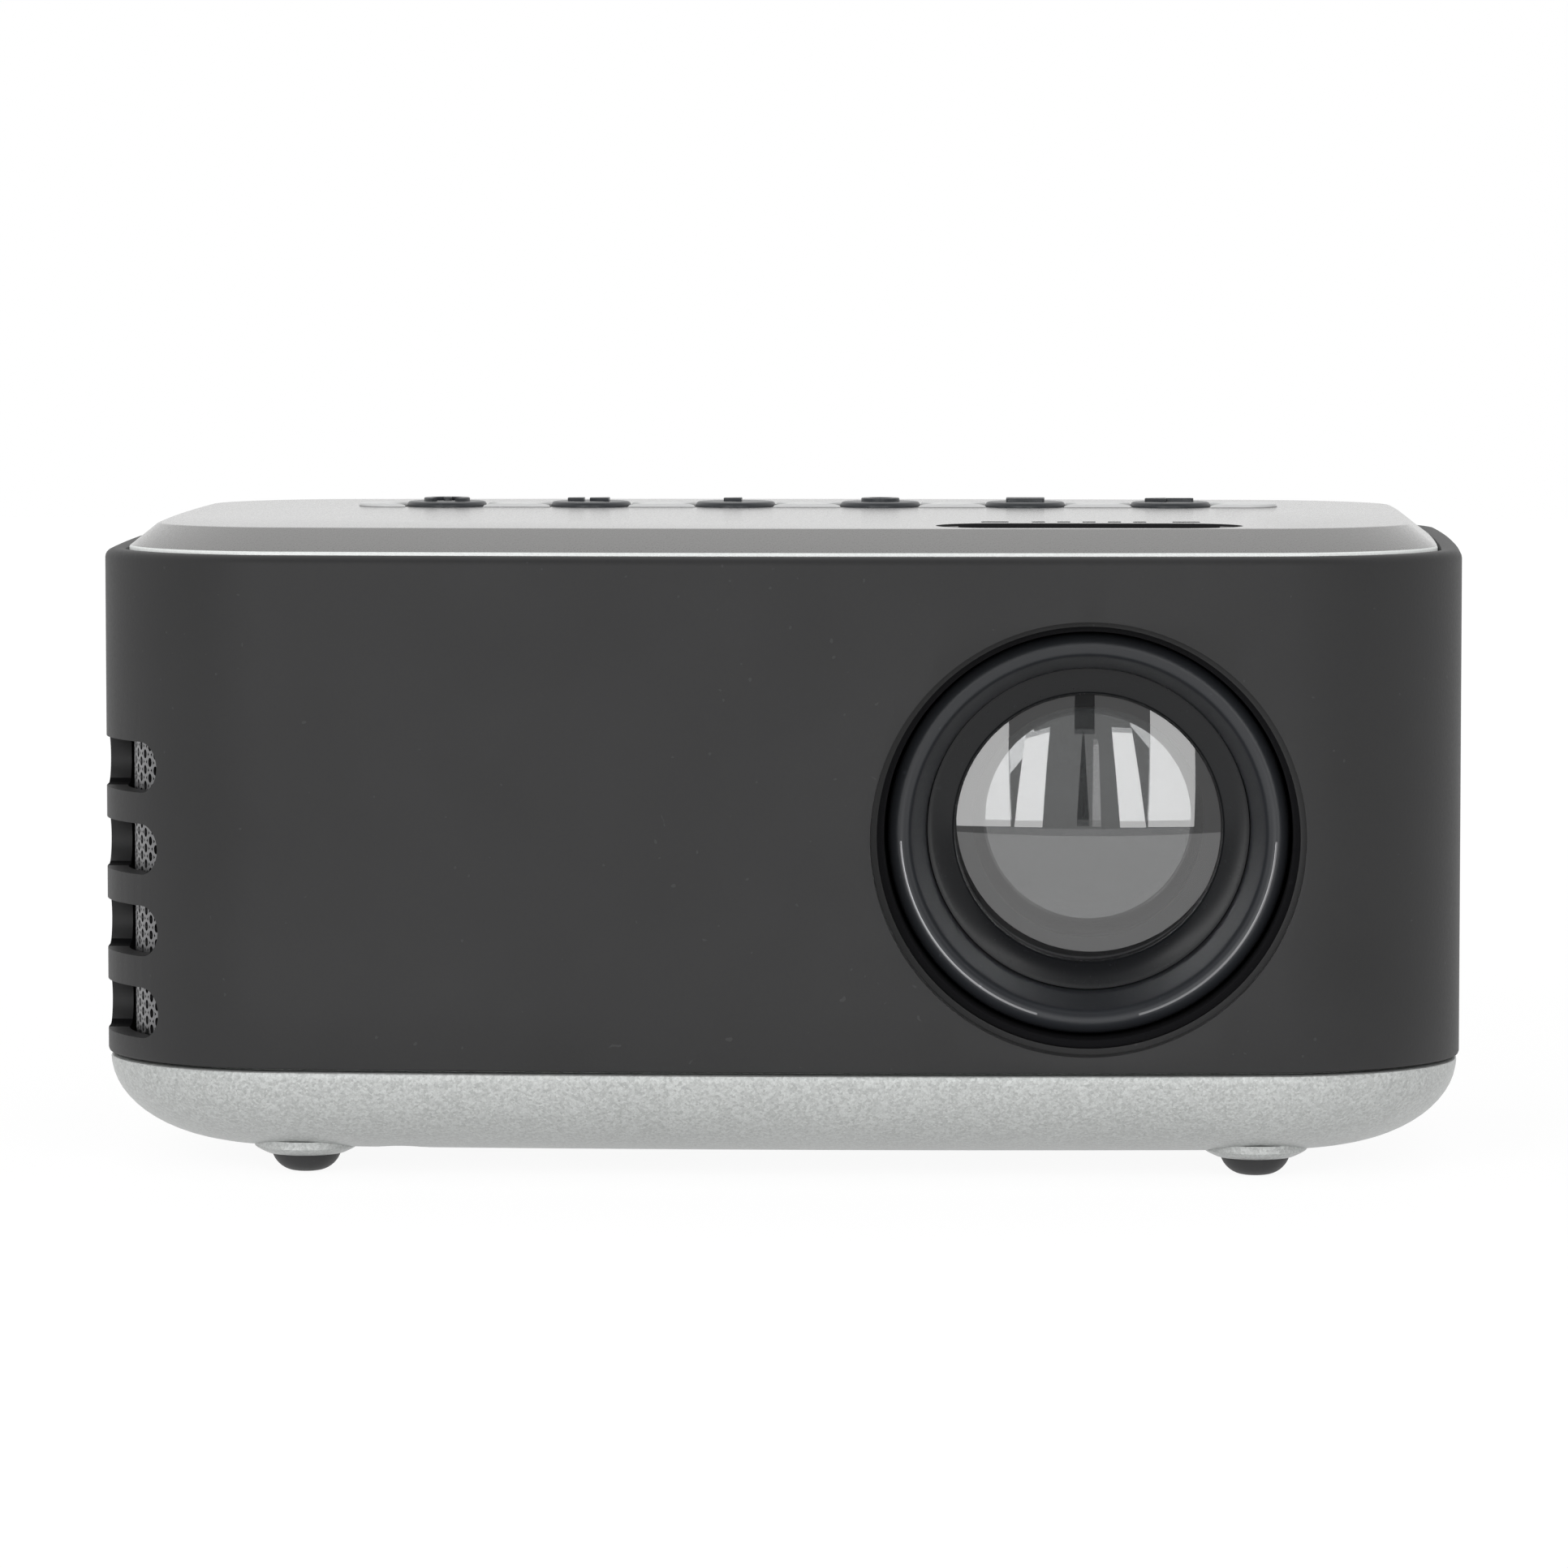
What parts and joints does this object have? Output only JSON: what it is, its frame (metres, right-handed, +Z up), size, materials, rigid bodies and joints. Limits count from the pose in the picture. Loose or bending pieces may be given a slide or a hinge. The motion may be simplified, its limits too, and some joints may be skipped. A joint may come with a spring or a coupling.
{
  "type": "mini projector",
  "caption": "Palm-sized video projector: silver tray and top cover, black band, recessed lens with a focus wheel, press keys, corner vents and rear sockets.",
  "frame": {"origin": "middle of the bounding box's bottom face, on the surface that the rubber feet stand on", "axes": "+Z up; -Y is the way the lens looks; +X runs along the width, towards the lens's end of the body"},
  "size_m": [0.135, 0.0878, 0.0646],
  "materials": {
    "black_shell": "fine matt texture",
    "silver_tray": "silver metallic paint",
    "silver_cover": "satin silver paint",
    "mesh": "perforated sheet",
    "rubber": "matt",
    "steel": "zinc plated",
    "brass": "machined",
    "smoked_window": "smoked, polished",
    "key": "satin",
    "key_board": "solder mask",
    "lens_plastic": "satin black",
    "wheel": "knurled rim",
    "glass": "polished",
    "engine": "moulded",
    "panel": "polished",
    "mirror": "front-silvered",
    "lamp_board": "white solder mask",
    "heat_sink": "extruded",
    "fan": "moulded",
    "board": "solder mask",
    "socket_metal": "nickel plated",
    "jack": "moulded",
    "speaker": "moulded basket"
  },
  "bodies": {
    "case": {"outer_band": "black_shell", "top_cover": "silver_cover", "bottom_tray": "silver_tray", "vent_mesh_front": "mesh", "vent_mesh_rear": "mesh", "foot_front_left": "rubber", "foot_front_right": "rubber", "foot_rear_left": "rubber", "foot_rear_right": "rubber", "case_screw_1": "steel", "case_screw_2": "steel", "case_screw_3": "steel", "case_screw_4": "steel", "tripod_insert": "brass", "receiver_window": "smoked_window", "key_board": "key_board", "lens_sleeve": "lens_plastic", "wheel_clip": "steel", "engine_case": "engine", "engine_lid": "engine", "rear_fresnel": "glass", "lcd_panel": "panel", "front_fresnel": "glass", "condenser_lens": "glass", "fold_mirror": "mirror", "led_board": "lamp_board", "heat_sink": "heat_sink", "fan_frame": "fan", "main_board": "board", "hdmi_socket": "socket_metal", "usb_socket": "socket_metal", "audio_jack": "jack", "power_jack": "jack", "speaker": "speaker"},
    "focus_wheel": {"focus_wheel": "wheel"},
    "lens_barrel": {"lens_barrel": "lens_plastic", "lens_ring": "lens_plastic", "front_lens": "glass", "rear_lens": "glass"},
    "key_1": {"key_1": "key"},
    "key_2": {"key_2": "key"},
    "key_3": {"key_3": "key"},
    "key_4": {"key_4": "key"},
    "key_5": {"key_5": "key"},
    "key_6": {"key_6": "key"},
    "fan_rotor": {"fan_rotor": "fan"}
  },
  "joints": [
    {"name": "focus_turn", "type": "hinge", "parent": "case", "child": "focus_wheel", "pos_m": [0.03034, -0.0309, 0.034], "axis": [0, 1, 0], "range_deg": [-35, 35]},
    {"name": "lens_slide", "type": "slide", "parent": "focus_wheel", "child": "lens_barrel", "axis": [0, 1, 0], "range_m": [-0.0025, 0.0025]},
    {"name": "key_1_press", "type": "slide", "parent": "case", "child": "key_1", "axis": [0, 0, -1], "range_m": [0, 0.0005], "stiffness_N_per_m": 400, "springref_m": -0.002},
    {"name": "key_2_press", "type": "slide", "parent": "case", "child": "key_2", "axis": [0, 0, -1], "range_m": [0, 0.0005], "stiffness_N_per_m": 400, "springref_m": -0.002},
    {"name": "key_3_press", "type": "slide", "parent": "case", "child": "key_3", "axis": [0, 0, -1], "range_m": [0, 0.0005], "stiffness_N_per_m": 400, "springref_m": -0.002},
    {"name": "key_4_press", "type": "slide", "parent": "case", "child": "key_4", "axis": [0, 0, -1], "range_m": [0, 0.0005], "stiffness_N_per_m": 400, "springref_m": -0.002},
    {"name": "key_5_press", "type": "slide", "parent": "case", "child": "key_5", "axis": [0, 0, -1], "range_m": [0, 0.0005], "stiffness_N_per_m": 400, "springref_m": -0.002},
    {"name": "key_6_press", "type": "slide", "parent": "case", "child": "key_6", "axis": [0, 0, -1], "range_m": [0, 0.0005], "stiffness_N_per_m": 400, "springref_m": -0.002},
    {"name": "fan_spin", "type": "hinge", "parent": "case", "child": "fan_rotor", "pos_m": [-0.043, -0.019, 0.034], "axis": [0, -1, 0], "continuous": true}
  ],
  "couplings": [
    {"joint": "lens_slide", "follows": "focus_turn", "m_per_rad": 0.004}
  ]
}
